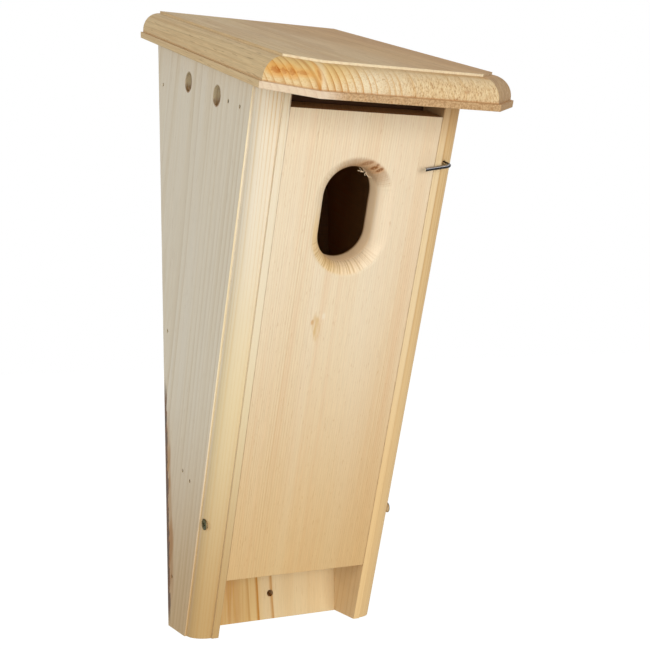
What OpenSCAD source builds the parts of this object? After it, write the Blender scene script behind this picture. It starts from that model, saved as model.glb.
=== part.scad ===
// Sloping-front nest box for small cavity-nesting birds, made of planed pine boards.
// Two side boards, wide at the top and narrow at the foot, stand either side of a back board.
// The front panel hangs on two screws near its foot and swings open at the top.
// Lengths are in millimetres. Up is +Z, the front faces -Y, and the back face lies in the plane Y = 0.
// The origin is on that back face, midway between the two mounting holes.

/* [Boards] */
// Thickness of the side boards
side_t = 19; // [17:0.5:25]
// Thickness of the back board
back_t = 19; // [15:0.5:25]
// Thickness of the front panel
panel_t = 19; // [15:0.5:25]
// Thickness of the floor board
floor_t = 19; // [12:0.5:25]
// Thickness of the roof board
roof_t = 19; // [18.5:0.5:25]
// Clear width between the two side boards
inner_w = 103; // [95:1:140]

/* [Side boards] */
// Height of a side board along its upright back edge
side_back_h = 415; // [380:1:480]
// Depth of a side board across its foot
side_foot = 49.5; // [45:0.5:70]
// Lean of the front from upright, in degrees
front_lean = 21.5; // [18:0.5:24]
// Radius of the quarter-round on the outer front edge
side_mould_r = 12.7; // [8:0.1:13.5]
// Depth of the small steps at both ends of that quarter-round
side_mould_step = 1.6; // [0.8:0.1:2.4]

/* [Roof] */
// Fall of the roof from level, in degrees
roof_pitch = 19.3; // [16:0.1:22]
// Length of the roof down its slope, from the back plane, along its underside
roof_len = 248.5; // [235:0.5:300]
// Overhang of the roof past each side board
roof_side_over = 12.7; // [6:0.1:30]
// Length cut off each front corner, along both edges
roof_clip = 25.4; // [18:0.1:34]
// Width of the shelf between the thin lip's outer edge and the quarter-round
roof_shelf = 1.8; // [1:0.1:3]
// Radius of the quarter-round on the routed edge
roof_mould_r = 12.7; // [8:0.1:13.5]
// Height of the small step between the flat top and the quarter-round
roof_step = 1.5; // [0.5:0.1:2]
// Height of the short upright wall between the quarter-round and the shelf
roof_rise = 0.8; // [0.4:0.1:1.2]

/* [Front panel] */
// Running gap between the panel and each side board
panel_gap = 0.4; // [0.3:0.1:1.2]
// Distance from the foot of the side boards up to the panel's lower end, along the front
panel_low = 45; // [30:0.5:60]
// Height of the vent slot between the panel's top and the roof, along the front
vent_slot = 12.7; // [8:0.1:20]

/* [Entrance] */
// Width of the oval entrance
entrance_w = 37.5; // [30:0.5:45]
// Height of the oval entrance
entrance_h = 61; // [50:0.5:70]
// Distance from the panel's top down to the middle of the entrance
entrance_drop = 65.4; // [55:0.1:90]
// Radius to which the router rounds the entrance's front edge
entrance_round = 9.5; // [5:0.1:13]
// How far the top of that rounding stays above the panel's face, which leaves a faint edge
entrance_shy = 0.1; // [0.05:0.05:0.5]

/* [Floor and inner block] */
// Distance from the pivots up to the underside of the floor, along the front
floor_over_pivot = 7.3; // [6:0.1:12]
// Clearance between the floor's front end and the panel
floor_clear = 1; // [0.8:0.1:2]
// Size of the block under the roof, along the slope
block_along = 30; // [26:0.5:34]
// Height of that block, square to the slope
block_high = 38; // [30:0.5:45]
// Gap between the block and the closed front panel, through which air leaves by the vent slot
block_clear = 5.6; // [4:0.1:8]

/* [Side vents] */
// Diameter of the side vent holes
vent_d = 12.7; // [8:0.1:14]
// Distance of their centres below the roof, square to the slope
vent_drop = 18.9; // [14:0.1:26]
// Distance from the block back up the slope to the nearer vent hole's centre
vent_from_block = 14.9; // [11:0.1:18]
// Distance between the two vent holes on each side
vent_gap = 54.8; // [40:0.1:65]

/* [Pivot screws] */
// Distance from the panel's lower end up to the pivots
pivot_up = 39; // [30:0.5:50]
// Diameter of a pivot screw's shank
pivot_d = 3.5; // [3:0.1:4.2]
// Radial clearance of the shank in the side board
pivot_clear = 0.05; // [0.03:0.01:0.09]
// Length of a pivot screw
pivot_len = 38; // [32:1:50]
// Diameter of its countersunk head
pivot_head_d = 7.2; // [6.6:0.1:9]
// Height of the straight rim of that head
pivot_rim = 0.5; // [0.3:0.1:1]
// Radial clearance round that head
pivot_head_clear = 0.3; // [0.2:0.05:0.6]
// Distance of the head's face inward of the side board's outer face
pivot_head_in = 2; // [1.5:0.1:2.6]

/* [Latch hook] */
// Diameter of the bent wire
hook_d = 2.4; // [2:0.1:3.2]
// Radial clearance of the hook in its bore
hook_clear = 0.05; // [0.03:0.01:0.09]
// Distance from the side board's inner face out to the hook's shaft
hook_out = 7.4; // [4:0.1:9]
// Distance from the panel's top down to the hook's shaft
hook_drop = 28.5; // [20:0.5:40]
// Length of shaft held in the side board
hook_depth = 30; // [20:1:40]
// Distance of the hook's arm in front of the panel
hook_stand = 6.5; // [5:0.1:9]
// Length of the arm, from the shaft's axis to its tip
hook_arm = 18; // [14:0.5:24]
// Radius of the bend, to the wire's middle
hook_bend = 2.6; // [2:0.1:3.4]
// Droop of the arm's tip, in degrees
hook_droop = 10; // [0:1:30]

/* [Nails] */
// Diameter of a nail's shank
nail_d = 1.8; // [1.4:0.1:2.4]
// Length of a nail
nail_len = 44; // [35:1:50]
// Diameter of a nail's head
nail_head_d = 2.6; // [2.5:0.1:3.4]
// Height of a nail's head
nail_head_h = 1.2; // [0.8:0.1:1.8]
// Depth of the head below the wood's surface
nail_set = 0.6; // [0.3:0.1:1.2]
// Distance from the foot up to the lowest back nail
back_nail_low = 36.5; // [25:0.5:60]
// Distance from the top of the back edge down to the highest back nail
back_nail_high = 34; // [25:0.5:60]
// Distance between the two nails at each end of the floor
floor_nail_gap = 15; // [10:0.5:18]
// Distance between the two nails at each end of the inner block
block_nail_gap = 19.5; // [12:0.5:22]

/* [Roof screws] */
// Diameter of a roof screw's shank
roof_screw_d = 4; // [3.5:0.1:4.5]
// Diameter of a roof screw's head
roof_screw_head_d = 8; // [7:0.1:9]
// Length of a roof screw
roof_screw_len = 50; // [48:1:52]
// Distance between the two roof screws
roof_screw_gap = 60; // [40:1:80]

/* [Mounting holes] */
// Diameter of the mounting holes in the back board
mount_hole_d = 4.8; // [4:0.1:6.5]
// Distance from the foot up to the lower mounting hole
mount_hole_low = 18.5; // [14:0.5:24]
// Distance between the two mounting holes
mount_hole_gap = 260; // [240:1:300]

/* [Hidden] */

$fn = 64;
eps = 1; // how far a cutter runs past the wood it cuts

side_grain = "#E3D2AE";
front_grain = "#EBD3AE";
roof_grain = "#CDB58C";
inside_grain = "#D9BE92";
bright_steel = "#8E9092";
bronzed_steel = "#5A5B45";

half_w = inner_w / 2;                       // from the middle to a side board's inner face
half_out = half_w + side_t;                 // to its outer face
foot_z = -(mount_hole_low + mount_hole_gap / 2);
// Where the front plane meets the roof's underside: height above the foot, then length along the front
brow_z = (side_back_h - side_foot * tan(roof_pitch)) / (1 + tan(front_lean) * tan(roof_pitch));
brow = brow_z / cos(front_lean);
panel_top = brow - vent_slot;
panel_len = panel_top - panel_low;
panel_w = inner_w - 2 * panel_gap;
pivot_at = panel_low + pivot_up;
pivot_in = panel_t / 2;
pivot_bore_r = pivot_d / 2 + pivot_clear;
floor_mid = pivot_at + floor_over_pivot + floor_t / 2;
floor_front = panel_t + floor_clear;
// Where the floor's middle line meets the back board, as a depth behind the front plane
floor_back = (side_foot - back_t + floor_mid * sin(front_lean)) / cos(front_lean);
floor_nail_in = (floor_front + floor_back) / 2;
roof_half = half_out + roof_side_over;
round_low = roof_t - roof_step - roof_mould_r; // height at which the roof's quarter-round starts
roof_lip = round_low - roof_rise;              // thickness of the lip that the router leaves
// The block's front face, as a distance down the slope, clears the panel's back face at its lower corner
off_square = front_lean - roof_pitch;
block_front = (side_foot * cos(front_lean) + side_back_h * sin(front_lean)
               - block_high * sin(off_square) - panel_t - block_clear) / cos(off_square);
block_mid = block_front - block_along / 2;
vent_near = block_front - block_along - vent_from_block;
entrance_at = panel_top - entrance_drop;
entrance_r = entrance_w / 2;
entrance_run = entrance_h - entrance_w;     // straight part between the two round ends
hook_x = half_w + hook_out;
hook_at = panel_top - hook_drop;
long = 2 * (side_back_h + roof_len);        // longer than the whole box, for cutters

// Frames. Each one moves its children from a plain frame of their own to their place on the box.

// Z = 0 at the foot of the boards
module from_foot() {
    translate([0, 0, foot_z]) children();
}

// Z runs up along the sloping front, Y goes square into it, and Y = 0 is the front face
module on_front() {
    from_foot() translate([0, -side_foot, 0]) rotate([front_lean, 0, 0]) children();
}

// -Y runs down the roof's slope from the back plane, Z is square to it, and Z = 0 is the roof's underside
module on_roof() {
    from_foot() translate([0, 0, side_back_h]) rotate([roof_pitch, 0, 0]) children();
}

// Side -1 is the left one, as it is modelled, and side 1 is its mirror image
module on_side(side) {
    mirror([side > 0 ? 1 : 0, 0, 0]) children();
}

// Points along +X, from a frame in which the piece points up
module pointing_in() {
    rotate([0, 90, 0]) children();
}

// Everything behind the back plane, moved forward by the given distance
module behind(forward) {
    translate([-long / 2, -forward, -long / 2]) cube([long, long, long]);
}

// Everything above the roof's underside
module over_brow() {
    on_roof() translate([-long / 2, -long / 2, 0]) cube([long, long, long]);
}

// Fasteners. Each one starts at Z = 0 and points up.

module nail() {
    cylinder(d = nail_head_d, h = nail_head_h);
    cylinder(d = nail_d, h = nail_len - nail_d);
    translate([0, 0, nail_len - nail_d]) cylinder(d1 = nail_d, d2 = nail_d / 4, h = nail_d);
}

// The nail with the small hole that is left over its set head
module nail_hole() {
    translate([0, 0, nail_set]) nail();
    translate([0, 0, -eps]) cylinder(d = nail_head_d, h = nail_set + 2 * eps);
}

// Countersunk wood screw, with its 45 degree head under a straight rim
module wood_screw(d, head_d, rim, len) {
    cone = (head_d - d) / 2;
    cylinder(d = head_d, h = rim);
    translate([0, 0, rim]) cylinder(d1 = head_d, d2 = d, h = cone);
    cylinder(d = d, h = len - d);
    translate([0, 0, len - d]) cylinder(d1 = d, d2 = d / 4, h = d);
}

module cross_recess(head_d, depth) {
    wide = head_d / 2;
    slot = head_d / 7;
    for (turn = [0, 90])
        rotate([0, 0, turn]) translate([-wide / 2, -slot / 2, -eps]) cube([wide, slot, depth + eps]);
}

// Places of the fasteners, all on the left side

module at_back_nails() {
    low = back_nail_low;
    high = side_back_h - back_nail_high;
    for (z = [low, (low + high) / 2, high])
        from_foot() translate([-half_out, -back_t / 2, z]) pointing_in() children();
}

module at_floor_nails() {
    for (shift = [-1, 1])
        on_front() translate([-half_out, floor_nail_in + shift * floor_nail_gap / 2, floor_mid])
            pointing_in() children();
}

module at_block_nails() {
    for (shift = [-1, 1])
        on_roof() translate([-half_out, -block_mid + shift * block_nail_gap / 2, -block_high / 2])
            pointing_in() children();
}

module at_pivot() {
    on_front() translate([-half_out + pivot_head_in, pivot_in, pivot_at]) pointing_in() children();
}

module at_roof_screws() {
    for (side = [-1, 1])
        on_roof() translate([side * roof_screw_gap / 2, -block_mid, -block_high]) children();
}

module all_nail_holes() {
    at_back_nails() nail_hole();
    at_floor_nails() nail_hole();
    at_block_nails() nail_hole();
}

// Side boards

module side_outline() {
    polygon([[0, 0], [-side_foot, 0], [-side_foot - brow_z * tan(front_lean), brow_z], [0, side_back_h]]);
}

// What the router takes off the outer front edge: a corner square less the quarter-round it leaves
module side_mould_cut() {
    mould = side_mould_step + side_mould_r;
    difference() {
        translate([-eps, -eps]) square(mould + eps);
        translate([mould, mould]) circle(r = side_mould_r);
    }
}

module pivot_hole() {
    head_r = pivot_head_d / 2 + pivot_head_clear;
    translate([0, 0, -pivot_head_in - eps]) cylinder(r = head_r, h = pivot_head_in + eps + pivot_rim);
    translate([0, 0, pivot_rim]) cylinder(r1 = head_r, r2 = pivot_bore_r, h = head_r - pivot_bore_r);
    cylinder(r = pivot_bore_r, h = side_t + eps);
}

module at_vents() {
    for (down = [vent_near - vent_gap, vent_near])
        on_roof() translate([-half_out - eps, -down, -vent_drop]) pointing_in() children();
}

module side_board() {
    difference() {
        from_foot() translate([-half_out, 0, 0]) rotate([90, 0, 90]) linear_extrude(side_t) side_outline();
        on_front() translate([-half_out, 0, -long / 2]) linear_extrude(long) side_mould_cut();
        at_vents() cylinder(d = vent_d, h = side_t + 2 * eps);
        at_pivot() pivot_hole();
        all_nail_holes();
    }
}

module hook_bore() {
    on_front() translate([hook_x, -eps, hook_at]) rotate([-90, 0, 0])
        cylinder(r = hook_d / 2 + hook_clear, h = hook_depth + 2 * eps);
}

module left_side() {
    color(side_grain) side_board();
}

module right_side() {
    color(side_grain) difference() {
        on_side(1) side_board();
        hook_bore();
    }
}

// Back board, with its top cut to the roof's slope

module mounting_holes() {
    for (z = [-mount_hole_gap / 2, mount_hole_gap / 2])
        translate([0, eps, z]) rotate([90, 0, 0]) cylinder(d = mount_hole_d, h = back_t + 2 * eps);
}

module back_board() {
    color(inside_grain) difference() {
        from_foot() translate([-half_w, -back_t, 0]) cube([inner_w, back_t, side_back_h]);
        over_brow();
        mounting_holes();
        for (side = [-1, 1]) on_side(side) at_back_nails() nail_hole();
    }
}

// Floor board, square to the sloping front so that it drains forward

module floor_board() {
    color(inside_grain) difference() {
        on_front() translate([-half_w, floor_front, floor_mid - floor_t / 2])
            cube([inner_w, 2 * floor_back, floor_t]);
        behind(back_t);
        for (side = [-1, 1]) on_side(side) at_floor_nails() nail_hole();
    }
}

// Block between the side boards, which carries the roof

module roof_block() {
    color(inside_grain) difference() {
        on_roof() translate([-half_w, -block_front, -block_high])
            cube([inner_w, block_along, block_high]);
        for (side = [-1, 1]) on_side(side) at_block_nails() nail_hole();
        at_roof_screws() roof_screw_hole();
    }
}

// Roof, with one routed profile along five edges that meets in mitres at the clipped corners

// What the router takes off an edge: X goes inward from the lip's outer edge, Y goes up
module roof_mould_cut() {
    wide = roof_shelf + roof_mould_r;
    difference() {
        translate([-eps, 0]) square([wide + eps, roof_t + eps]);
        translate([roof_shelf, -eps]) square([wide, round_low + eps]);
        translate([wide, round_low]) circle(r = roof_mould_r);
    }
}

// Runs the router along the edge that starts at the given point, turned from the left edge's direction
module rout_edge(start, turn) {
    translate([start[0], start[1], 0]) rotate([90, 0, turn])
        translate([0, 0, -long / 2]) linear_extrude(long) roof_mould_cut();
}

module roof_outline() {
    back = roof_t; // runs past the back plane, where the end is cut upright
    polygon([[-roof_half, back], [roof_half, back],
             [roof_half, -roof_len + roof_clip], [roof_half - roof_clip, -roof_len],
             [-roof_half + roof_clip, -roof_len], [-roof_half, -roof_len + roof_clip]]);
}

module roof() {
    color(roof_grain) difference() {
        on_roof() {
            // the lip, which the router does not reach
            linear_extrude(roof_lip) roof_outline();
            difference() {
                translate([0, 0, roof_lip / 2]) linear_extrude(roof_t - roof_lip / 2) roof_outline();
                rout_edge([-roof_half, 0], 0);
                rout_edge([-roof_half, -roof_len + roof_clip], 45);
                rout_edge([0, -roof_len], 90);
                rout_edge([roof_half - roof_clip, -roof_len], 135);
                rout_edge([roof_half, 0], 180);
            }
        }
        behind(0);
        at_roof_screws() roof_screw();
    }
}

module roof_screw() {
    wood_screw(roof_screw_d, roof_screw_head_d, pivot_rim, roof_screw_len);
}

// The screw with an open way in for its head, which lies flush with the block's underside
module roof_screw_hole() {
    roof_screw();
    translate([0, 0, -eps]) cylinder(d = roof_screw_head_d, h = 2 * eps);
}

module roof_screws() {
    color(bright_steel) at_roof_screws() difference() {
        roof_screw();
        cross_recess(roof_screw_head_d, 2);
    }
}

// Front panel, with its oval entrance

// Half of the entrance's section: X is the distance from its axis, Y goes into the wood
module entrance_section() {
    mould = entrance_r + entrance_round;
    low = entrance_round - entrance_shy;
    translate([0, -eps]) square([entrance_r, panel_t + 2 * eps]);
    // a corner square less the quarter-round that the router leaves
    difference() {
        translate([0, -eps]) square([mould, low + eps]);
        translate([mould, low]) circle(r = entrance_round);
    }
}

module entrance() {
    // the straight part
    for (side = [0, 1])
        translate([0, 0, -entrance_run / 2]) mirror([side, 0, 0]) linear_extrude(entrance_run) entrance_section();
    // the round ends
    for (shift = [-1, 1])
        translate([0, 0, shift * entrance_run / 2]) rotate([-90, 0, 0])
            rotate_extrude() entrance_section();
}

module front_panel() {
    color(front_grain) difference() {
        on_front() difference() {
            translate([-panel_w / 2, 0, panel_low]) cube([panel_w, panel_t, panel_len]);
            translate([0, 0, entrance_at]) entrance();
        }
        for (side = [-1, 1]) on_side(side) at_pivot() pivot_screw_body();
    }
}

// Pivot screws, which hold in the panel and turn in the side boards

module pivot_screw_body() {
    wood_screw(pivot_d, pivot_head_d, pivot_rim, pivot_len);
}

module pivot_screw() {
    color(bronzed_steel) at_pivot() difference() {
        pivot_screw_body();
        cross_recess(pivot_head_d, 1.8);
    }
}

module left_pivot_screw() {
    pivot_screw();
}

module right_pivot_screw() {
    on_side(1) pivot_screw();
}

// Latch hook, a wire bent square, whose arm lies across the panel's edge

module latch_hook() {
    color(bright_steel) on_front() translate([hook_x, 0, hook_at]) rotate([0, -hook_droop, 0]) {
        translate([0, hook_depth, 0]) rotate([90, 0, 0])
            cylinder(d = hook_d, h = hook_depth + hook_stand - hook_bend);
        translate([-hook_bend, -hook_stand + hook_bend, 0]) rotate([0, 0, -90])
            rotate_extrude(angle = 90) translate([hook_bend, 0]) circle(d = hook_d);
        translate([-hook_bend, -hook_stand, 0]) rotate([0, -90, 0])
            cylinder(d = hook_d, h = hook_arm - hook_bend);
    }
}

// Nails

module set_nail() {
    translate([0, 0, nail_set]) nail();
}

module left_back_nails() {
    color(bright_steel) at_back_nails() set_nail();
}

module right_back_nails() {
    on_side(1) left_back_nails();
}

module left_floor_nails() {
    color(bright_steel) at_floor_nails() set_nail();
}

module right_floor_nails() {
    on_side(1) left_floor_nails();
}

module left_block_nails() {
    color(bright_steel) at_block_nails() set_nail();
}

module right_block_nails() {
    on_side(1) left_block_nails();
}

left_side();
right_side();
back_board();
floor_board();
roof_block();
roof();
front_panel();
left_pivot_screw();
right_pivot_screw();
latch_hook();
roof_screws();
left_back_nails();
right_back_nails();
left_floor_nails();
right_floor_nails();
left_block_nails();
right_block_nails();
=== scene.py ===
import bpy
import bmesh
from functools import partial, reduce
from math import cos, sin, pi, radians
from types import SimpleNamespace
from mathutils import Matrix, Vector


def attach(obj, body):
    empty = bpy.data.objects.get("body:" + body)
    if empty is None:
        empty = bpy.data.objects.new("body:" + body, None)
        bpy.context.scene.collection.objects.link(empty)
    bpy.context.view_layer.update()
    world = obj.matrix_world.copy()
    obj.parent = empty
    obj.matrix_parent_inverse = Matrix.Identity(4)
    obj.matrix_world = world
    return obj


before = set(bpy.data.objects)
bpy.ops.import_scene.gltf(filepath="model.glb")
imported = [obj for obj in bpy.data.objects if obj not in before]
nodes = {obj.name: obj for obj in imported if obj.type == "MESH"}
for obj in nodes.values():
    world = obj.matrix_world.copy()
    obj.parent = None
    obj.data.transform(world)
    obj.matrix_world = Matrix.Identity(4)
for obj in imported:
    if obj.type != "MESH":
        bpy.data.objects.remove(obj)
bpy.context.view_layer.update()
print("frame loaded:", len(nodes), "nodes")

bpy.context.scene.view_settings.view_transform = "Standard"


# small helpers

def linear(hexColour):  # sRGB hex to the linear values that sockets take
    values = [int(hexColour[i:i + 2], 16) / 255 for i in (1, 3, 5)]
    values = [v / 12.92 if v <= 0.04045 else ((v + 0.055) / 1.055) ** 2.4 for v in values]
    return (*values, 1.0)


mathNodes = ("ADD", "SUBTRACT", "MULTIPLY", "DIVIDE", "MULTIPLY_ADD", "POWER", "SQRT", "ABSOLUTE", "SIGN",
             "FRACT", "MAXIMUM", "ARCTAN2")
usual = {  # nodes used often, by a short name: kind, settings, the inputs its values go to, the output taken
    **{name: ("ShaderNodeMath", {"operation": name}, (0, 1, 2), 0) for name in mathNodes},
    **{name: ("ShaderNodeSeparateXYZ", {}, (0,), name.upper()) for name in "xyz"},
    "plus": ("ShaderNodeVectorMath", {"operation": "ADD"}, (0, 1), 0),
    "minus": ("ShaderNodeVectorMath", {"operation": "SUBTRACT"}, (0, 1), 0),
    "times": ("ShaderNodeVectorMath", {"operation": "MULTIPLY"}, (0, 1), 0),
    "scaled": ("ShaderNodeVectorMath", {"operation": "SCALE"}, (0, "Scale"), 0),
    "dot": ("ShaderNodeVectorMath", {"operation": "DOT_PRODUCT"}, (0, 1), "Value"),
    "length": ("ShaderNodeVectorMath", {"operation": "LENGTH"}, (0,), "Value"),
    "between": ("ShaderNodeMapRange", {"interpolation_type": "SMOOTHSTEP"}, (0, 1, 2, 3, 4), 0),
    "blend": ("ShaderNodeMix", {"data_type": "RGBA"}, (0, 6, 7), 2),
    "tint": ("ShaderNodeMix", {"data_type": "RGBA", "blend_type": "MULTIPLY"}, (0, 6, 7), 2),
}


def addNode(tree, kind, *values, **settings):  # values in the order of the inputs, or a dictionary by input
    kind, standing, sockets, output = usual.get(kind, (kind, {}, range(len(values)), None))
    node = tree.nodes.new(kind)
    for key, value in {**standing, **settings}.items():
        setattr(node, key, value)
    inputs = values[0] if values and isinstance(values[0], dict) else dict(zip(sockets, values))
    for key, value in inputs.items():
        if isinstance(value, bpy.types.NodeSocket):
            tree.links.new(value, node.inputs[key])
        else:
            node.inputs[key].default_value = value
    return node if output is None else node.outputs[output]


def newMaterial(name):  # an empty material, and addNode for its tree
    material = bpy.data.materials.new(name)
    material.use_nodes = True
    material.node_tree.nodes.clear()
    return material, partial(addNode, material.node_tree)


def addObject(name, data):
    thing = bpy.data.objects.new(name, data)
    bpy.context.scene.collection.objects.link(thing)
    return thing


def addPiece(name, mesh, material, body):
    piece = addObject(name, mesh)
    mesh.materials.append(material)
    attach(piece, body)


def dress(names, material):
    for name in names:
        mesh = nodes[name].data
        mesh.materials.clear()
        mesh.materials.append(material)


# the box's own directions, in the shared frame

tilt = {"frontLean": 21.5, "roofPitch": 19.3, "sideGrain": 20.0}  # degrees
lean, pitch, sideGrain = (radians(tilt[key]) for key in ("frontLean", "roofPitch", "sideGrain"))
rightward = Vector((1, 0, 0))
upFront = Vector((0, -sin(lean), cos(lean)))      # along the sloping front
intoFront = Vector((0, cos(lean), sin(lean)))
upRoof = Vector((0, cos(pitch), sin(pitch)))      # up the roof's slope
overRoof = Vector((0, -sin(pitch), cos(pitch)))
footHeight = -0.1485                              # the lowest edge of the box
footFront = Vector((0, -0.0495, footHeight))      # the front plane where it meets the foot
roofCorner = Vector((0, 0, 0.2665))               # the roof's underside at the back plane


def onFront(x, depth, along):  # millimetres, as the front panel is measured
    return footFront + Vector((x / 1000, 0, 0)) + intoFront * (depth / 1000) + upFront * (along / 1000)


def onRoof(x, down, up):  # millimetres from the back plane, down the slope
    return roofCorner + Vector((x / 1000, 0, 0)) - upRoof * (down / 1000) + overRoof * (up / 1000)


# Wood. One recipe of solid grain serves every board: rings round the pith, fibres along the board,
# and end grain wherever a cut crosses them. Distances inside it are millimetres.

pineCommon = {
    "fibre": 0.45,        # mm across a bundle of fibres; real ones are 0.03, drawn coarser so that they show
    "fibreLength": 16,    # mm
    "streak": 5,          # mm across a band of warmer or paler wood
    "streakLength": 160,  # mm
    "canal": 0.9,         # mm across a resin canal's dash, drawn about three times as wide as it is
    "canalLength": 9,     # mm
    "pit": 0.8,           # mm across a torn pit in end grain
    "wander": 5,          # mm by which rings leave a true circle
    "heart": 0,           # mm from the pith to where the rings' width is measured
    "tighten": 0.0,       # per mm from there, how much narrower the rings get
    "latewood": ((0.5, 0.12), (0.8, 0.55), (0.9, 1.0), (0.95, 0.7)),  # share of a ring's width, and its dark
    "footShade": "#E9D3AC",   # painted shade that the foot's wood is multiplied by
    "toneHigh": 0.17,     # metres up where that starts
    "toneLow": -0.17,     # and where it is full
    "rough": 0.62,
    "relief": 0.12,       # mm between the deepest and the highest of the grain
    "arris": 0.5,         # mm, sandpaper's rounding of each edge
    "innerShade": "#CFAC89",  # painted shade that the wood is multiplied by on the inner faces of the box
    "stroke": "#B08B62",  # the marks of the saw on them
    "sawnFrom": -0.2,     # metres along intoFront where those faces start
    "floorTop": -0.088,   # metres up where they start
}


def pineMaterial(name, look, touches=None):
    look = {**pineCommon, **look}
    material, add = newMaterial(name)
    place = add("ShaderNodeTexCoord").outputs
    spot, facing = place["Object"], place["Normal"]
    along = look["along"].normalized()
    through = look["through"].normalized()
    turn = Matrix((through.cross(along), through, along))
    board = add("ShaderNodeMapping", {"Vector": spot, "Scale": (1000, 1000, 1000),
                                      "Rotation": turn.to_euler(),
                                      "Location": -(turn @ (look["pith"] * 1000))}).outputs[0]

    def grain(wide, long, detail=2.0, rough=0.5, output=0, tall=0):  # features that wide and long in mm
        counted = add("times", board, (1 / wide, 1 / (tall or wide), 1 / long))
        return add("ShaderNodeTexNoise", {"Vector": counted, "Scale": 1.0, "Detail": detail,
                                          "Roughness": rough}).outputs[output]

    def measure(point, *axes, scale=(1000, 1000, 1000)):  # mm from a point, in all or along each axis given
        mm = add("times", add("minus", spot, point), scale)
        return [add("dot", mm, axis) for axis in axes] if axes else add("length", mm)

    def squares(a, b):  # the sum of two squares: 1 on an oval's edge, with both as shares of its half widths
        return add("ADD", add("POWER", a, 2), add("POWER", b, 2))

    def meet(*masks):  # a mask is a share, or a value with where it starts and ends and the share at each
        masks = [add("between", *mask) if isinstance(mask, tuple) else mask for mask in masks]
        return reduce(partial(add, "MULTIPLY"), masks)

    def paint(colour, tone, *masks, way="blend"):  # lays a tone over the colour where all of the masks meet
        return add(way, meet(*masks), colour, linear(tone))

    # growth rings
    drift = add("minus", grain(70, 420, 1.5, output=1), (0.5, 0.5, 0.5))
    moved = add("plus", board, add("scaled", drift, look["wander"] * 2))
    radius = add("SUBTRACT", add("length", add("times", moved, (1, 1, 0))), look["heart"])
    count = add("MULTIPLY", radius, add("MULTIPLY_ADD", radius, look["tighten"], 1.0))
    count = add("DIVIDE", count, look["ring"])
    uneven = add("ShaderNodeTexNoise", {"W": count, "Scale": 0.7, "Detail": 1.0}, noise_dimensions="1D")
    count = add("MULTIPLY_ADD", uneven.outputs[0], 1.1, count)
    latewood = add("ShaderNodeValToRGB", add("FRACT", count))
    ramp = latewood.color_ramp.elements
    ramp[1].color = (0, 0, 0, 1)  # a ring starts and ends as early wood
    for position, value in look["latewood"]:
        ramp.new(position).color = (value, value, value, 1)
    rings = meet(latewood.outputs[0], (grain(34, 260, 1.0), 0.3, 0.62, 0.35, 1.0))

    # how squarely a cut crosses the fibres
    endGrain = meet((add("ABSOLUTE", add("dot", facing, along)), 0.3, 0.85))

    fibres = grain(look["fibre"], look["fibreLength"], 3.0, 0.65)
    streaks = grain(look["streak"], look["streakLength"], 2.5, 0.55)
    bands = grain(look["streak"] * 5, look["streakLength"] * 2.2, 1.0)
    canals = grain(look["canal"], look["canalLength"], 1.0)
    pits = meet((grain(look["pit"], 5, 2.0, 0.6), 0.5, 0.68))

    face = paint(linear(look["early"]), look["late"], rings, look["ringShow"])
    face = paint(face, look["warm"], (streaks, 0.42, 0.72, 0.0, look["streakShow"]))
    face = paint(face, look["pale"], (bands, 0.45, 0.7, 0.0, look["streakShow"]))
    ends = paint(linear(look["endEarly"]), look["endLate"], rings, look["endShow"])
    ends = paint(ends, look["endLate"], pits, look["pits"])
    colour = add("blend", endGrain, face, ends)
    colour = paint(colour, look["canalTint"], (canals, 0.66, 0.74), look["canalShow"])
    tone = meet((fibres, 0.3, 0.7, 1 - look["fibreShow"], 1 + look["fibreShow"] * 0.6))
    colour = add("scaled", colour, tone)

    wood = SimpleNamespace(add=add, grain=grain, measure=measure, squares=squares, meet=meet, paint=paint,
                           spot=spot, facing=facing, look=look, rings=rings, endGrain=endGrain, dent=None)
    if touches:
        colour = touches(colour, wood)

    # the wood is deeper in tone towards the foot, as in the photograph
    # painted shade: the light falls off towards the foot, so the colour is darkened and warmed there
    height = add("z", spot)
    low = add("between", height, look["toneHigh"], look["toneLow"], interpolation_type="SMOOTHERSTEP")
    colour = paint(colour, look["footShade"], low, way="tint")

    if "inward" in look:  # the inner face above the floor gets painted shade, lighter just behind the panel where light comes in, and saw marks
        behind = add("dot", spot, intoFront)
        start = look["sawnFrom"]
        sawn = meet((add("dot", facing, look["inward"]), 0.8, 0.95),
                    (height, look["floorTop"], look["floorTop"] + 0.006),
                    (behind, start - 0.001, start), (behind, start + 0.03, start + 0.1, 0.15, 1.0))
        colour = paint(colour, look["innerShade"], sawn, way="tint")
        strokes = (grain(60, 1.1, 1.5), 0.44, 0.6)  # the saw's, straight across the grain
        colour = paint(colour, look["stroke"], sawn, strokes, 0.35)

    relief = add("MULTIPLY_ADD", fibres, 0.6, add("MULTIPLY", rings, -0.5))
    relief = add("ADD", relief, meet(pits, -2.2, endGrain))
    if wood.dent is not None:
        relief = add("ADD", relief, wood.dent)
    soft = add("ShaderNodeBevel", {"Radius": look["arris"] / 1000}, samples=4)
    normal = add("ShaderNodeBump", {"Strength": 0.6, "Distance": look["relief"] / 1000, "Height": relief,
                                    "Normal": soft.outputs[0]})
    shader = add("ShaderNodeBsdfPrincipled", {"Base Color": colour, "Normal": normal.outputs[0], "IOR": 1.48,
                                              "Roughness": look["rough"], "Specular IOR Level": 0.35})
    add("ShaderNodeOutputMaterial", shader.outputs[0])
    return material


# Side boards: planed pine from a flat-sawn plank. Planing leaves a dull, even face with faint broad
# rings that lean with the front, and fine yellow lines where the moulding cuts across them.

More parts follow.
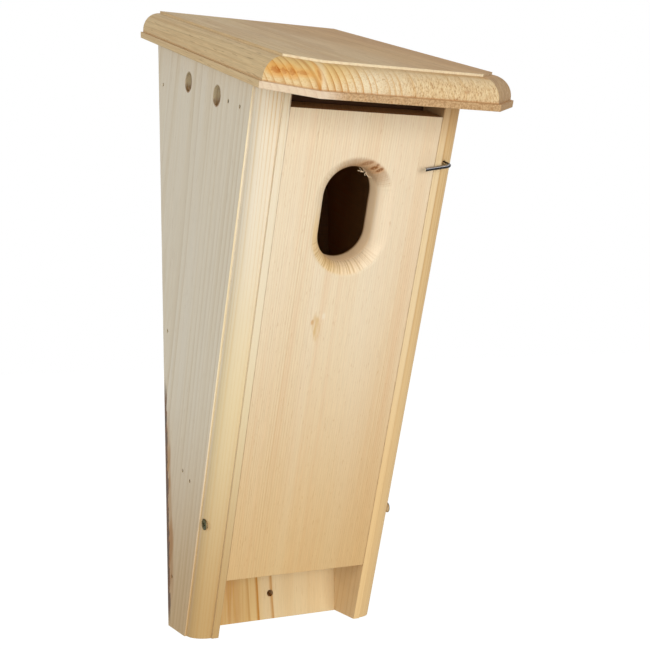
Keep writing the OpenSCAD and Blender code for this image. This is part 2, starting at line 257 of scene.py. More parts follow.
leftSide = {
    "along": Vector((0, -sin(sideGrain), cos(sideGrain))), "through": rightward,
    "pith": Vector((-0.35, 0.0137, 0.05)), "ring": 2.2, "ringShow": 0.75, "wander": 3,
    "early": "#E6D9C2", "late": "#CFBA97", "warm": "#DBC8A6", "pale": "#E8DECC",
    "streakShow": 0.35, "fibreShow": 0.05, "canal": 0.8, "canalShow": 0.25, "canalTint": "#B99A6E",
    "endShow": 0.8, "endEarly": "#E3CD9C", "endLate": "#B98B4C", "pits": 0.4,
    "inward": rightward, "sawnFrom": footFront.dot(intoFront) + 0.0205, "toneHigh": 0.06, "footShade": "#DDC7A7",
    # the moulding: how far its lines show and how far plain wood covers them, at the foot and higher up
    "mould": {"cream": "#F0DFC3", "line": "#D8B070", "plain": "#DFC792", "strip": "#F1E2C3",
              "show": (0.2, 1.0), "flat": (0.7, 0.0), "eavesShadow": 0.0},
}
rightSide = {
    **leftSide, "pith": Vector((0.35, 0.0137, 0.05)), "ring": 2.6, "ringShow": 0.45,
    "early": "#E2C08E", "late": "#C8965A", "warm": "#DDB37C", "pale": "#ECD5AA",
    "inward": -rightward, "footShade": "#FFFCF6",
    "mould": {"cream": "#DFBC82", "line": "#BF8A45", "plain": "#EFCB93", "strip": "#EFDBB4",
              "show": (0.1, 0.45), "flat": (0.75, 0.3), "eavesShadow": 0.6},
}
moulding = {  # edges in mm from the middle line, heights in metres
    # the sill's pale tones are a painted highlight, and the step's golden tone is painted shade in a crease
    "outer": 70.5, "sillHighlight": "#F5E4BA", "sillLow": "#FBF0E4", "sillHeights": (-0.06, 0.08),
    "inner": 56.2, "step": "#D9B577", "stripHeights": (-0.06, 0.09), "lineHeights": (0.0, 0.15),
    # the slot's tone is painted shade, and the eaves' tone painted shadow
    "slot": "#8A6440", "slotWall": (52.5, 51.9), "slotHeights": (0.184, 0.194),
    "eavesShadow": "#B9854C", "eavesHeights": (0.16, 0.21), "torn": "#946636",
    "vent": 6.35, "bore": "#FFEFC4",  # the radius of a vent, and the pale tone painted on its wall as light
}
ventRows = [onRoof(0, down, -18.9) for down in (72.5, 127.3)]  # the vent holes' axes, under the roof
acrossBore = (0, 1000, 1000)  # scale for the millimetres from an axis that runs from side to side
darkRims = (  # round each pivot screw and where the hook goes in: scale, outer and inner mm, depth of tone
    (onFront(0, 9.5, 84), acrossBore, 4.9, 3.9, 0.22),
    (onFront(58.9, 0, 334.4), (1000, 1000, 1000), 3.2, 1.6, 0.7),
)
bark = {  # millimetres up, between which it and its stain come in at the foot and end at the top
    "dark": "#57493C", "red": "#8A6243", "foot": (-150, -134), "top": (30, 8),
    "stain": "#B07E3C", "stainFoot": (-140, -108), "stainTop": (16, -40),
}


def workedSide(colour, wood):  # what the tools left on a side board's moulding and round its vents, with painted light and shade
    add, grain, meet, paint = wood.add, wood.grain, wood.meet, wood.paint
    mould = wood.look["mould"]
    height = add("z", wood.spot)
    ahead = add("dot", wood.facing, -intoFront)
    sloped = meet((ahead, 0.12, 0.45))  # the rounding, where the knives cut the rings and show them as lines
    colour = paint(colour, mould["cream"], sloped, 0.5)
    # towards the foot the lines die out in the rubbed wood
    flat = (height, *moulding["lineHeights"], *mould["flat"])
    colour = paint(colour, mould["plain"], (ahead, 0.05, 0.3), flat)
    show = (height, *moulding["lineHeights"], *mould["show"])
    colour = paint(colour, mould["line"], sloped, (wood.rings, 0.08, 0.6, 0.0, 0.85), show)
    # a painted highlight on the outer sill, a bright yellow line where its narrow face meets the light, and
    # painted shade in the crease of the inner step
    middle = add("MULTIPLY", add("ABSOLUTE", add("x", wood.spot)), 1000)
    outer, inner = moulding["outer"], moulding["inner"]
    sillTone = paint(linear(moulding["sillLow"]), moulding["sillHighlight"], (height, *moulding["sillHeights"]))
    sillHighlight = meet((middle, outer - 0.9, outer - 0.5), (ahead, 0.8, 0.95),
                (height, *moulding["sillHeights"], 0.6, 0.75))
    colour = add("blend", sillHighlight, colour, sillTone)
    step = (add("ABSOLUTE", add("SUBTRACT", middle, inner)), 0.8, 0.3)
    colour = paint(colour, moulding["step"], step, (ahead, 0.7, 0.3), 0.4)
    # higher up the flat beside the panel is paler
    strip = (height, *moulding["stripHeights"], 0.0, 0.5)
    colour = paint(colour, mould["strip"], (middle, inner + 0.3, inner - 0.3), (ahead, 0.9, 0.98), strip)
    # painted shade on the slot's end walls, and painted shadow on a board under the eaves
    slot = (height, *moulding["slotHeights"])
    colour = paint(colour, moulding["slot"], (middle, *moulding["slotWall"]), slot, 0.75)
    eavesShadow = (height, *moulding["eavesHeights"])
    colour = paint(colour, moulding["eavesShadow"], eavesShadow, (ahead, 0.3, 0.8), mould["eavesShadow"])
    # each vent's bore is painted pale in its upper part as light falling in, torn below and outlined in
    # brown, and each screw's rim and the hook's hole are darker
    bore = moulding["vent"]
    for axis in ventRows:
        away = wood.measure(axis, scale=acrossBore)
        rise, = wood.measure(axis, (0, 0, 1))
        below = meet((rise, 1.5, -5.0))
        fuzzy = (grain(1.6, 40, 1.0), 0.4, 0.55, 0.35, 0.9)
        colour = paint(colour, moulding["bore"], (away, bore + 0.35, bore + 0.05), (below, 0.6, 0.1), fuzzy)
        outline = (away, bore + 0.75, bore + 0.25), (away, bore - 0.35, bore + 0.15)
        colour = paint(colour, moulding["torn"], *outline, 0.4)
        ragged = (grain(1.6, 4, 2.5), 0.4, 0.58, 0.35, 1.0)
        colour = paint(colour, moulding["torn"], (away, bore + 1.25, bore + 0.15), below, ragged, 0.75)
    for centre, scale, wide, narrow, share in darkRims:
        worn = (wood.measure(centre, scale=scale), wide, narrow)
        colour = paint(colour, moulding["torn"], worn, (grain(1.2, 3, 2.0), 0.3, 0.55, 0.4, 1.0), share)
    return colour


def barkedSide(colour, wood):  # the left board also has a strip of bark and its stain low on the back edge
    add, grain, paint = wood.add, wood.grain, wood.paint
    colour = workedSide(colour, wood)
    depthIn = add("MULTIPLY_ADD", add("x", wood.spot), 1000, moulding["outer"])
    inward = add("MULTIPLY", add("y", wood.spot), -1000)  # mm from the back face
    height = add("MULTIPLY", add("z", wood.spot), 1000)
    # the stain is reddish and tapers off in streaks
    reach = add("MULTIPLY_ADD", grain(30, 46, 1.0), 13.0, 5.0)
    streaky = (grain(7, 38, 2.0), 0.36, 0.56, 0.5, 1.0)
    colour = paint(colour, bark["stain"], (add("SUBTRACT", inward, reach), 2.6, -2.0), streaky,
                   wood.meet((height, *bark["stainTop"]), (height, *bark["stainFoot"])), 0.8)
    # the bark has a ragged edge and reaches only a little way across the board's own edge
    ragged = grain(3.0, 10, 3.0, 0.65)
    edge = add("MULTIPLY_ADD", ragged, 8.0, 1.2)
    wane = wood.meet((add("SUBTRACT", inward, edge), 0.6, -0.6),
                     wood.meet((height, *bark["top"]), (height, *bark["foot"])),
                     (add("MULTIPLY_ADD", ragged, 7.0, depthIn), 11.0, 8.5))
    barkTone = paint(linear(bark["dark"]), bark["red"], (grain(1.1, 14, 2.5), 0.4, 0.65))
    return add("blend", wane, colour, barkTone)


leftPine = pineMaterial("planed pine, left side", leftSide, barkedSide)
rightPine = pineMaterial("planed pine, right side", rightSide, workedSide)
dress(["left_side"], leftPine)
dress(["right_side"], rightPine)
print("side boards done")

# Back board: planed pine. Its left part is resinous and golden, with three strong latewood lines; the rest
# is pale sapwood with hardly a line in it.

backBoard = {
    "along": Vector((0, 0, 1)), "through": Vector((0, 1, 0)), "inward": Vector((0, -1, 0)),
    "pith": Vector((-0.06, 0.21, 0)), "ring": 9.0, "ringShow": 0.3, "wander": 4,
    "early": "#F2E2C1", "late": "#DDBB85", "warm": "#E6C898", "pale": "#F3E3C2", "footShade": "#F6E8D0",
    "streak": 7, "streakShow": 0.35, "fibreShow": 0.05, "canalShow": 0.2, "canalTint": "#CFA468",
    "endShow": 0.8, "endEarly": "#DFC48E", "endLate": "#A87436", "pits": 0.4,
}
resinous = {
    "tone": "#EBCF96", "red": "#CE9650", "thread": "#D9A94A", "line": "#C4871E",
    "lines": ((-17, 0.5), (-9.4, 0.9), (2.4, 0.7)),  # mm right of the middle line, and depth of tone
}


def resinousPart(colour, wood):  # places are millimetres right of the middle line
    add, grain, paint = wood.add, wood.grain, wood.paint
    height = add("z", wood.spot)
    leaning = add("MULTIPLY", add("ADD", height, 0.135), 0.06)  # the grain leans a little
    across = add("MULTIPLY", add("ADD", add("x", wood.spot), leaning), 1000)
    across = add("MULTIPLY_ADD", add("SUBTRACT", grain(60, 150, 2.0), 0.5), 6.0, across)
    golden = wood.meet((across, -3, -13))
    colour = paint(colour, resinous["tone"], golden, 0.85)
    reddish = (grain(4.5, 46, 2.5), 0.35, 0.62, 0.3, 1.0)
    colour = paint(colour, resinous["red"], (across, -16, -30), reddish, 0.6)
    colour = paint(colour, resinous["thread"], golden, (grain(1.3, 60, 2.0), 0.5, 0.66), 0.35)
    for middle, share in resinous["lines"]:  # soft on the side of the pith, sharp on the other
        away = add("SUBTRACT", across, middle)
        colour = paint(colour, resinous["line"], (away, -2.6, -0.3), (away, 0.7, 0.2), share)
    return colour


backPine = pineMaterial("planed pine, back board", backBoard, resinousPart)
dress(["back_board"], backPine)

# Floor and block: sawn pine. The saw leaves it rougher, and it is a little darker than the planed faces as
# painted shade for the inside of the box.

sawnPine = {
    "along": rightward, "through": upFront, "pith": Vector((0, 0.03, -0.16)), "ring": 4.0, "ringShow": 0.7,
    "early": "#D9BC8A", "late": "#A9773F", "warm": "#C79A60", "pale": "#DFC79B",
    "streakShow": 0.4, "fibreShow": 0.12, "canalShow": 0.3, "canalTint": "#8F6234", "rough": 0.78,
    "endShow": 0.8, "endEarly": "#D2B27A", "endLate": "#97692F", "pits": 0.5,
}
blockShadePine = {  # painted near black as shade, so that the vent slot over the front panel looks dark
    **sawnPine, "through": overRoof, "pith": Vector((0, -0.1, 0.1)),
    "early": "#54341A", "late": "#341E0E", "warm": "#462812", "pale": "#5A3A20",
    "endEarly": "#583920", "endLate": "#341E0E", "canalTint": "#2B1A0C",
}
dress(["floor_board"], pineMaterial("sawn pine, floor", sawnPine))
dress(["roof_block"], pineMaterial("sawn pine, offcut painted dark as shade", blockShadePine))
print("inner boards done")

# Front panel: planed pine sawn nearly on the quarter. Its narrow rings run straight and close up the
# panel, so the face reads as fine pinkish cream lines under a dull sheen.

frontPanel = {
    "along": upFront, "through": intoFront, "inward": intoFront, "innerShade": "#F3E6D2",
    "pith": Vector((-0.21, -0.02, 0.02)), "ring": 1.5, "ringShow": 0.6, "wander": 3.0, "arris": 0.25,
    "early": "#EFDCBC", "late": "#D9B88E", "warm": "#E8C7A2", "pale": "#F0E2C9",
    "streak": 4, "streakLength": 190, "streakShow": 0.4, "fibre": 0.4, "fibreShow": 0.06,
    "canal": 0.6, "canalLength": 5, "canalShow": 0.3, "canalTint": "#C99C68",
    "endShow": 0.8, "endEarly": "#DDBE90", "endLate": "#A9713A", "pits": 0.5,
    "right": "#FCF7F1", "topEndShade": "#7A4820",  # the right part's deeper tone, and painted shade on the top end under the roof
}
knot = {  # the faint one under the entrance
    "centre": onFront(-13.6, 0, 225.4), "wide": 0.3, "tall": 0.1, "tint": "#D6AE6C",
    "spots": (  # mm right and up from its centre, radius, colour, depth of tone
        (-3.2, 3.6, 2.6, "#C98F4A", 0.6), (4.2, 7.6, 3.2, "#F3EAD8", 0.5),
    ),
}
entrance = {  # mm, as in the CAD, what the router left on its rounded edge, and painted light and shade on it
    "middle": 297.5, "run": 11.75, "radius": 18.75, "round": 9.5,
    "golden": "#F2CC86", "cut": "#EBCDA6", "bright": "#FFEACB",
    "line": "#BC924F", "lit": "#FFE0B6", "edge": "#9C6A42", "upperShade": "#B4906F",
    "halo": "#D0955C", "torn": "#7E4608", "crack": "#B5743C", "crackAt": onFront(15.6, 8.5, 314.2),
}
gouges = (  # mm to the right and up from the foot, half length, half width, lean in degrees, depth of tone
    (10.6, 328.8, 2.1, 1.3, 31, 1.0), (14.3, 327.9, 2.5, 1.1, 45, 0.95), (5.2, 331.8, 4.2, 1.5, 24, 0.6),
    (12.0, 331.2, 1.1, 0.9, 50, 0.7),
)


def workedPanel(colour, wood):  # the faint knot, what the router left on the entrance's bevel, painted light and shade on the bevel, and painted shade on the top end
    add, grain, measure, squares = wood.add, wood.grain, wood.measure, wood.squares
    meet, paint = wood.meet, wood.paint

    side, up = measure(knot["centre"], rightward, upFront)
    bent = add("MULTIPLY_ADD", add("SUBTRACT", grain(5, 14, 1.5), 0.5), 4.0, side)
    bent = add("MULTIPLY_ADD", up, 0.15, bent)
    spread = squares(add("MULTIPLY", bent, knot["wide"]), add("MULTIPLY", up, knot["tall"]))
    colour = paint(colour, knot["tint"], (spread, 1.2, 0.3), (grain(1.4, 12, 2.0), 0.35, 0.6, 0.2, 0.65))
    for x, high, radius, tone, share in knot["spots"]:  # each is twice as tall as wide
        away = squares(add("MULTIPLY", add("SUBTRACT", side, x), 2.0), add("SUBTRACT", up, high))
        colour = paint(colour, tone, (add("SQRT", away), radius, radius * 0.3, 0.0, share))

    # knife lines that fan out round the entrance where the cut crosses the fibres, strongest lower left
    side, up, deep = measure(onFront(0, 0, entrance["middle"]), rightward, upFront, intoFront)
    beyond = add("MAXIMUM", add("SUBTRACT", add("ABSOLUTE", up), entrance["run"]), 0.0)
    rim = add("SQRT", squares(side, beyond))
    inner, outer = entrance["radius"], entrance["radius"] + entrance["round"]
    shallow = (deep, 13.0, 10.5)  # short of the straight part of the throat
    onRound = meet((deep, 0.05, 0.8), shallow, (rim, outer + 0.95, outer + 0.15))
    turnUp = add("MULTIPLY", add("SIGN", up), beyond)
    angle = add("ARCTAN2", turnUp, side)  # radians, 0 to the right and positive upwards
    ticks = add("ShaderNodeTexNoise", {"W": add("MULTIPLY", angle, 17.0), "Scale": 1.0, "Detail": 2.5},
                noise_dimensions="1D")
    lowerLeft = meet((add("MULTIPLY_ADD", side, 0.9, up), 6, -32, 0.15, 1.0))
    lowerLeft = add("ADD", lowerLeft, meet((up, 14, 24, 0.0, 0.3)))
    crossed = meet((add("ABSOLUTE", turnUp), 0.5, 10.0), lowerLeft)
    marks = meet((ticks.outputs[0], 0.46, 0.6), onRound, crossed)
    # the deeper part of the rounding is a pinkish tan, and browner at the very edge of the throat
    colour = paint(colour, entrance["golden"], (add("ADD", side, up), -14, -34), onRound, 0.5)
    colour = paint(colour, entrance["cut"], (deep, 0.8, 7.5, 0.0, 0.4), onRound)
    # painted light where the rounding faces up at the lower right and faces left beside the throat at the
    # upper right
    litFacing = add("MAXIMUM", meet((up, -10, -24), (side, -12, 2)),
                meet((side, 16, 20), (up, 26, 16), (deep, 2.0, 5.0)))
    colour = paint(colour, entrance["bright"], litFacing, onRound, 0.55)
    colour = paint(colour, entrance["line"], marks, 0.5)
    # painted light: the throat's straight wall is painted pale as if lit, and browner at its inner end
    throat = meet((deep, 7.0, 9.5), (rim, inner + 2.25, inner + 0.45))
    colour = paint(colour, entrance["lit"], throat, 0.9)
    colour = paint(colour, entrance["edge"], throat, (deep, 16.8, 18.6, 0.0, 0.7))
    # torn brown gouges at the top right, which run up to the right
    torn, halo = 0.0, 0.0
    for x, along, length, width, leaning, tone in gouges:
        cosine, sine = cos(radians(leaning)), sin(radians(leaning))
        run, cross = measure(onFront(x, 0, along), rightward * cosine + upFront * sine,
                             upFront * cosine - rightward * sine)
        oval = squares(add("DIVIDE", run, length), add("DIVIDE", cross, width))
        torn = add("MAXIMUM", torn, meet((oval, 1.6, 0.3, 0.0, tone)))
        halo = add("MAXIMUM", halo, meet((oval, 5.5, 0.8, 0.0, tone)))
    inRing = meet((rim, outer - 1.25, outer - 3.85), shallow)
    torn = meet(torn, (grain(0.9, 2.5, 2.0), 0.32, 0.55, 0.5, 1.0), inRing)
    # painted shade on the upper part of the rounding, which faces down
    colour = paint(colour, entrance["upperShade"], (angle, 0.3, 0.8), (angle, 2.6, 1.7), inRing, 0.62)
    colour = paint(colour, entrance["halo"], halo, inRing, 0.5)
    colour = paint(colour, entrance["torn"], torn, 0.9)
    # a short brown crack where the straight side of the throat starts
    aside, above = measure(entrance["crackAt"], rightward, upFront)
    crack = squares(add("MULTIPLY_ADD", above, 0.55, aside), add("DIVIDE", above, 3.6))
    colour = paint(colour, entrance["crack"], (crack, 1.6, 0.3), shallow, 0.75)
    # the face is a little deeper in tone to the right, and the top end gets painted shade under the roof
    colour = paint(colour, frontPanel["right"], (side, 8, 44), (deep, 6.0, 4.0), way="tint")
    topEndShade = (add("dot", wood.facing, upFront), 0.9, 0.98)
    colour = paint(colour, frontPanel["topEndShade"], topEndShade, (up, 60.0, 64.0), 0.75)
    wood.dent = add("MULTIPLY_ADD", marks, -2.0, add("MULTIPLY", torn, -3.0))
    return colour


frontPine = pineMaterial("planed straight-grained pine, front panel", frontPanel, workedPanel)
dress(["front_panel"], frontPine)

# Torn fibres: pale crinkled ones that the router left standing in the throat, at the upper right, and a seam
# along the panel's sawn edges, which nearly closes the gaps to the side boards.

splinter = {  # mm right and up from the entrance's middle, at the depth where the straight throat starts
    "depth": 10.4, "half": 0.36, "crinkle": 0.16, "sway": 0.5, "steps": 4,
    "section": ((1, 0), (0.2, -1), (-1, 0), (-0.2, 1)),  # its four corners, in half widths
    "paths": (((4.5, 29.7), (5.6, 28.1), (6.8, 26.7), (8.0, 26.6), (8.5, 27.6), (8.0, 28.6)),
              ((7.3, 28.7), (9.0, 27.1), (10.7, 25.2), (11.8, 23.8), (12.9, 23.3), (14.1, 23.6)),
              ((3.9, 27.4), (5.8, 26.9), (7.0, 26.6)), ((9.6, 26.4), (9.0, 25.3), (9.5, 24.4))),
    "look": {"early": "#FFE6C2", "late": "#F2D2A4", "warm": "#F8DCB2", "pale": "#FFEFD4",
             "endEarly": "#FFE6C2", "endLate": "#EFD2A6", "arris": 0.05},
}
fuzz = {"edge": 51.1, "proud": 0.29, "from": 45.3, "to": 362.6, "steps": 160}  # mm


def splinterRings(i, path):
    rings = []
    for step in range(splinter["steps"] * (len(path) - 1) + 1):
        k = min(step // splinter["steps"], len(path) - 2)
        share = step / splinter["steps"] - k
        x, up = (a * (1 - share) + b * share for a, b in zip(path[k], path[k + 1]))
        x += splinter["crinkle"] * sin(2.1 * step + i)
        up += splinter["crinkle"] * sin(1.7 * step + 2 * i)
        depth = splinter["depth"] + splinter["sway"] * sin(0.8 * step + i)
        turn = pi / 2 + 0.5 * sin(0.6 * step)
        half = splinter["half"] * (1 - 0.35 * abs(sin(0.9 * step + i))) * (0.8 if i > 1 else 1)
        rings.append([(x + a * half * cos(turn) * 0.7, depth + b * half * 0.5,
                       entrance["middle"] + up + a * half * sin(turn)) for a, b in splinter["section"]])
    return rings


def fuzzRings(hand):
    rings = []
    for step in range(fuzz["steps"] + 1):
        along = fuzz["from"] + (fuzz["to"] - fuzz["from"]) * step / fuzz["steps"]
        proud = fuzz["proud"] + 0.05 * sin(0.9 * step) + 0.04 * sin(2.3 * step + hand)
        section = ((-0.1, 0.06), (proud * 0.7, 0.1), (proud, 0.35), (proud * 0.6, 0.8), (-0.1, 0.9))
        rings.append([(hand * (fuzz["edge"] + out), depth, along) for out, depth in section])
    return rings


def tornFibres(name, strands, material):  # each strand is a tube over rings of points in mm, as in onFront
    shape = bmesh.new()
    for strand in strands:
        rings = [[shape.verts.new(onFront(*point)) for point in ring] for ring in strand]
        for low, high in zip(rings, rings[1:]):
            for k in range(len(low)):
                after = (k + 1) % len(low)
                shape.faces.new((low[k], low[after], high[after], high[k]))
        shape.faces.new(rings[0][::-1])
        shape.faces.new(rings[-1])
    bmesh.ops.recalc_face_normals(shape, faces=shape.faces)
    mesh = bpy.data.meshes.new(name.replace("_", " "))
    shape.to_mesh(mesh)
    shape.free()
    addPiece(name, mesh, material, "front_panel")


tornFibres("entrance_splinters", [splinterRings(i, path) for i, path in enumerate(splinter["paths"])],
           pineMaterial("torn pine fibres", {**frontPanel, **splinter["look"]}))
tornFibres("panel_edge_fuzz", [fuzzRings(hand) for hand in (-1, 1)], frontPine)
print("front panel done")

# Roof: planed and routed pine. The flat top is a dull tan, and the router's cut through the end grain at
# the front and the clipped corners shows bright cream with orange rings that lean to the left corner.

roofBoard = {
    "along": upRoof, "through": overRoof, "pith": onRoof(-215, 248, -52), "heart": 130, "tighten": -0.0024,
    "ring": 3.1, "ringShow": 0.45, "wander": 3, "toneHigh": 0.1,
    "early": "#DEC08F", "late": "#B28D5A", "warm": "#C69D68", "pale": "#DCC196",
    "streak": 4, "streakShow": 0.5, "fibreShow": 0.12,
    "canalLength": 14, "canalShow": 0.5, "canalTint": "#9C7448",
    "endShow": 0.9, "endEarly": "#EFDCB6", "endLate": "#CB8F42", "pits": 0.45,
}
routed = {  # the step under the flat top and the shelf over the lip are in mm over the underside
    "plain": "#DFBF8D", "pore": "#A9733A", "dash": "#EBD3A4",   # the right part of the cut
    "glow": "#EAC276", "glowAt": onRoof(-70, 231, 14), "ring": "#B56E1C", "resin": "#B05C08",
    "soaked": "#E09A3E", "rightFacetShade": "#A68052", "step": 17.5, "strip": "#F4E4C0",
    "mitre": "#F7E9CB", "mitreAt": ((-57.2, -56.0), (-52.0, -55.0)),  # mm right of the middle line
    "shelf": 4.0, "corner": "#AD7036", "lip": "#CFA97A", "lipPore": "#9E6F3F", "lipLeft": "#E6CFB6",
    "toasted": "#B58A5C", "right": "#F0DFC9", "pin": "#A8672C", "pinAt": onRoof(35, 247, 10),
}
resinSpots = (  # mm: x, up, half width, half height, depth of tone
    (-75.4, 10.9, 2.2, 1.8, 1.0), (-72.1, 11.1, 1.3, 1.5, 0.95), (-68.8, 11.2, 1.5, 1.8, 0.95),
    (-64.1, 11.6, 2.6, 1.0, 0.7), (-57.2, 12.0, 0.7, 3.0, 0.8),
)


def routedRoof(colour, wood):  # what the router's cut through the end grain shows, and painted shade on the right clipped corner
    add, grain, measure, meet, paint = wood.add, wood.grain, wood.measure, wood.meet, wood.paint
    endGrain, rings = wood.endGrain, wood.rings
    side, up = measure(roofCorner, rightward, overRoof)
    step, shelf = routed["step"], routed["shelf"]
    # to the right the rings close up until only torn pores and short dashes show, in a browner cream
    speckle = (grain(0.6, 6, 2.0, 0.6, tall=1.7), 0.46, 0.68)
    dashes = (grain(0.8, 8, 2.0, 0.5, tall=2.6), 0.52, 0.62, 0.0, 0.75)
    plain = paint(paint(linear(routed["plain"]), routed["pore"], speckle), routed["dash"], dashes)
    colour = add("blend", meet((side, -28, 14), 0.85, endGrain), colour, plain)
    # a glow of resin in the left clipped corner, deepest in a patch near the top
    atFront = meet((add("y", wood.facing), -0.35, -0.42))
    under = meet(atFront, (up, step + 0.2, step - 0.2))
    glow = meet((measure(routed["glowAt"]), 46, 22), under)
    colour = paint(colour, routed["glow"], glow, (up, 6, 12, 0.4, 0.75))
    colour = paint(colour, routed["ring"], glow, rings, 0.8)
    # the small step under the flat top is cut clean
    colour = paint(colour, routed["strip"], endGrain, (up, step - 0.1, step + 0.2), 0.7)
    ragged = add("MULTIPLY_ADD", grain(0.9, 20, 2.0), 3.0, -1.5)
    resin, soaked = 0.0, 0.0
    for middle, height, wide, tall, tone in resinSpots:
        oval = wood.squares(add("DIVIDE", add("SUBTRACT", side, middle), wide),
                            add("DIVIDE", add("SUBTRACT", up, height), tall))
        oval = add("ADD", oval, ragged)
        resin = add("MAXIMUM", resin, meet((oval, 1.6, 0.2, 0.0, tone)))
        soaked = add("MAXIMUM", soaked, meet((oval, 7.5, 1.0, 0.0, tone)))
    colour = paint(colour, routed["soaked"], soaked, under, 0.6)
    inRings = add("MULTIPLY_ADD", rings, 0.6, 0.5, use_clamp=True)
    colour = paint(colour, routed["resin"], resin, inRings, under)
    left, right = routed["mitreAt"]
    colour = paint(colour, routed["mitre"], (side, *left), (side, *right), under, 0.28)
    # the lip under the moulding is a rough saw cut, pinkish at the left corner and brown along the front
    rough = paint(linear(routed["lip"]), routed["lipPore"], (grain(1.2, 2.2, 3.0, 0.7), 0.35, 0.68))
    rough = paint(rough, routed["lipLeft"], (side, -38, -58))
    colour = add("blend", meet((up, shelf + 0.5, shelf - 0.1), endGrain, 0.85), colour, rough)
    # a brown line in the corner over the shelf, all the way round
    line = (up, shelf - 0.1, shelf + 0.05), (up, shelf + 1.0, shelf + 0.5)
    colour = paint(colour, routed["corner"], *line, add("MULTIPLY_ADD", endGrain, 0.15, 0.3))
    # painted shade on the right clipped corner, which faces away from the light, browner in a torn pattern
    torn = (grain(0.9, 9, 2.0, tall=3.0), 0.38, 0.6, 0.6, 0.95)
    colour = paint(colour, routed["rightFacetShade"], (add("x", wood.facing), 0.12, 0.3), atFront, torn)
    # the flat top is toasted by the planer in long patches
    onTop = meet((add("dot", wood.facing, overRoof), 0.9, 0.98))
    colour = paint(colour, routed["toasted"], (grain(22, 90, 2.0), 0.45, 0.62), onTop, 0.26)
    colour = paint(colour, routed["right"], (side, -40, 50), onTop, way="tint")
    # one pin knot in the front
    return paint(colour, routed["pin"], (measure(routed["pinAt"]), 2.6, 1.2, 0.0, 0.45))


roofPine = pineMaterial("planed and routed pine, roof", roofBoard, routedRoof)
dress(["roof"], roofPine)
print("roof done")

# Steel. The hook is bright drawn wire with fine drawing lines, and its one long highlight is painted.

hookWire = {
    "tone": "#2A2B2F", "stain": "#211D1B", "rough": 0.24,
    "line": 0.35,  # mm between drawing lines, drawn coarser than real
    # painted highlights along the front and at the cut tip, and painted dark elsewhere for the dark it
    # reflects
    "paintedHighlights": ((Vector((-0.28, -0.85, 0.44)), "#C9CCD6"), (Vector((-0.98, 0, -0.17)), "#D9D8D0")),
}


def steelMaterial(name, look):
    material, add = newMaterial(name)
    place = add("ShaderNodeTexCoord").outputs
    spot, facing = place["Object"], place["Normal"]
    fine = add("ShaderNodeTexNoise", {"Vector": spot, "Scale": 1000 / look["line"] / 4, "Detail": 3.0})
    patchy = add("ShaderNodeTexNoise", {"Vector": spot, "Scale": 260.0, "Detail": 2.0})  # about 4 mm across
    tone = linear(look["tone"])
    tone = add("blend", patchy.outputs[0], tone, linear(look.get("stain", look["tone"])))
    # painted highlights on the faces that look the given ways
    for way, bright in look.get("paintedHighlights", ()):
        highlighted = add("between", add("dot", facing, way.normalized()), 0.8, 0.97, 0.0, 0.9)
        tone = add("blend", highlighted, tone, linear(bright))
    if "underHeadHighlight" in look:  # painted highlight: the faces under the head that look back to the middle get a pale cream reflection
        back = add("MULTIPLY", add("x", facing), add("SIGN", add("x", spot)))
        tone = add("blend", add("between", back, -0.3, -0.6), tone, linear(look["underHeadHighlight"]))
    worn = fine.outputs[0]
    rough = add("between", worn, 0.3, 0.7, look["rough"] - 0.08, look["rough"] + 0.12,
                interpolation_type="LINEAR")
    bump = add("ShaderNodeBump", {"Strength": 0.25, "Distance": 0.00004, "Height": worn})  # 0.04 mm deep
    shader = add("ShaderNodeBsdfPrincipled", {"Base Color": tone, "Metallic": look.get("metal", 1.0),
                                              "Roughness": rough, "Normal": bump.outputs[0]})
    add("ShaderNodeOutputMaterial", shader.outputs[0])
    return material


dress(["latch_hook"], steelMaterial("bright drawn steel wire", hookWire))

# Pivot screws: steel under a dark green-bronze ceramic coat, which hides most of the metal's gloss

pivotScrew = {"tone": "#2C2F0E", "stain": "#55532A", "underHeadHighlight": "#CDB48C", "rough": 0.5, "line": 0.4,
              "metal": 0.5}
dress(["left_pivot_screw", "right_pivot_screw"], steelMaterial("bronze-coated steel", pivotScrew))

# Nails dull to a rusty brown grey, and the roof's zinc-plated screws stay pale

nailSteel = {"tone": "#7C6A52", "stain": "#5B4632", "rough": 0.55, "line": 0.3, "metal": 0.8}
rustyNail = {**nailSteel, "tone": "#4E3E2E", "stain": "#372A1E"}
zincPlate = {"tone": "#B9BAB4", "rough": 0.38, "line": 0.4}
dress([name for name in nodes if name.endswith("nails")],
      steelMaterial("bright steel nails, dulled", nailSteel))
dress(["left_block_nails", "right_block_nails"], steelMaterial("bright steel nails, rusted", rustyNail))
dress(["roof_screws"], steelMaterial("zinc-plated steel", zincPlate))
print("metal done")

# Stage: the box hangs from its back board, so the pale floor lies well below it

stage = {"floorSize": 60.0, "floorDrop": 1.05, "floorTone": "#E9E7E2", "whiten": 0.7}
light = {  # metres and watts
    "fill": 0.44, "fillTone": (0.97, 0.985, 1.0, 1), "aim": (0, -0.1, 0.06),
    "keyAt": (0.12, -1.95, 0.08), "keySize": 0.9, "keyPower": 16.2,
    "sideAt": (-1.55, -0.95, 0.1), "sideSize": 1.0, "sidePower": 11.1, "sideTone": (0.93, 0.97, 1.0),
}


def seenDirectly(add):  # 1 for the rays that show a thing itself: to the camera, in a gloss or through glass
    ray = add("ShaderNodeLightPath").outputs
    seen = add("MAXIMUM", ray["Is Camera Ray"], ray["Is Glossy Ray"])
    return add("MAXIMUM", seen, ray["Is Transmission Ray"])


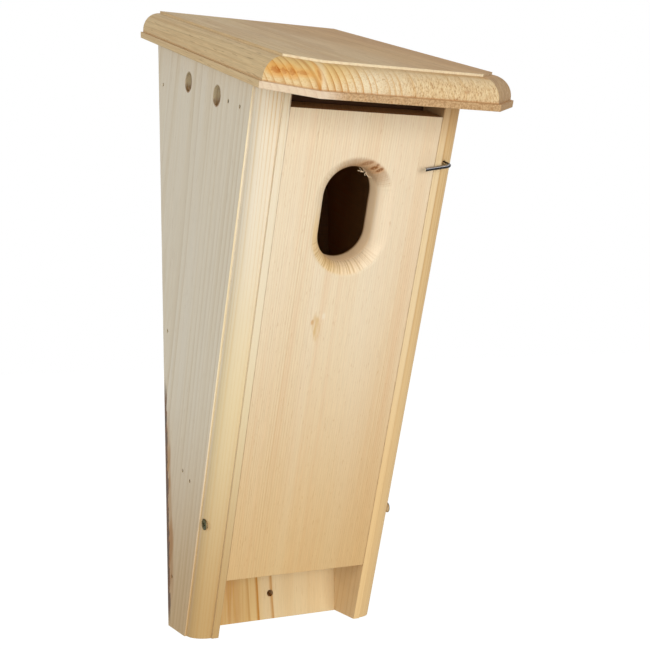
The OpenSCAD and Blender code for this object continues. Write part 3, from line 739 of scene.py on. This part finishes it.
def stageFloor():
    shape = bmesh.new()
    bmesh.ops.create_grid(shape, x_segments=1, y_segments=1, size=stage["floorSize"] / 2)
    mesh = bpy.data.meshes.new("floor")
    shape.to_mesh(mesh)
    shape.free()
    floor = addObject("pale floor", mesh)
    floor.location = (0, 0, footHeight - stage["floorDrop"])
    material, add = newMaterial("matt white floor paint")
    matt = add("ShaderNodeBsdfDiffuse", {"Color": linear(stage["floorTone"])})
    share = add("MULTIPLY", seenDirectly(add), stage["whiten"])
    white = add("ShaderNodeEmission", {"Color": (1, 1, 1, 1), "Strength": share})
    both = add("ShaderNodeAddShader", matt.outputs[0], white.outputs[0])
    add("ShaderNodeOutputMaterial", both.outputs[0])
    mesh.materials.append(material)


def stageWorld():
    world = bpy.data.worlds.new("studio")
    bpy.context.scene.world = world
    world.use_nodes = True
    world.node_tree.nodes.clear()
    add = partial(addNode, world.node_tree)
    fill = add("ShaderNodeBackground", {"Color": light["fillTone"], "Strength": light["fill"]})
    white = add("ShaderNodeBackground", {"Color": (1, 1, 1, 1), "Strength": 1.0})
    both = add("ShaderNodeMixShader", seenDirectly(add), fill.outputs[0], white.outputs[0])
    add("ShaderNodeOutputWorld", both.outputs[0])


def areaLamp(name, at, size, power, colour=(1, 1, 1)):
    lamp = bpy.data.lights.new(name, "AREA")
    lamp.shape, lamp.size, lamp.energy, lamp.color = "SQUARE", size, power, colour
    holder = addObject(name, lamp)
    holder.location = at
    holder.rotation_euler = (Vector(light["aim"]) - Vector(at)).to_track_quat("-Z", "Y").to_euler()


stageFloor()
stageWorld()
areaLamp("front softbox", light["keyAt"], light["keySize"], light["keyPower"])
areaLamp("left softbox", light["sideAt"], light["sideSize"], light["sidePower"], light["sideTone"])

# Camera, as fitted to the photograph: metres, radians and millimetres

view = {"at": (-0.33634, -0.80952, 0.06583), "yaw": 0.4522, "down": 0.0041, "roll": -0.017, "lens": 66.04,
        "sensor": 36, "nearest": 0.02}


def addCamera():
    yaw, down, roll = view["yaw"], view["down"], view["roll"]
    forward = Vector((sin(yaw) * cos(down), cos(yaw) * cos(down), -sin(down)))
    level = Vector((cos(yaw), -sin(yaw), 0))
    top = level.cross(forward)
    right = level * cos(roll) + top * sin(roll)
    up = top * cos(roll) - level * sin(roll)
    data = bpy.data.cameras.new("camera")
    data.sensor_width, data.lens, data.clip_start = view["sensor"], view["lens"], view["nearest"]
    camera = addObject("camera", data)
    camera.matrix_world = Matrix.Translation(view["at"]) @ Matrix((right, up, -forward)).transposed().to_4x4()
    bpy.context.scene.camera = camera


addCamera()
print("stage, light and camera done")
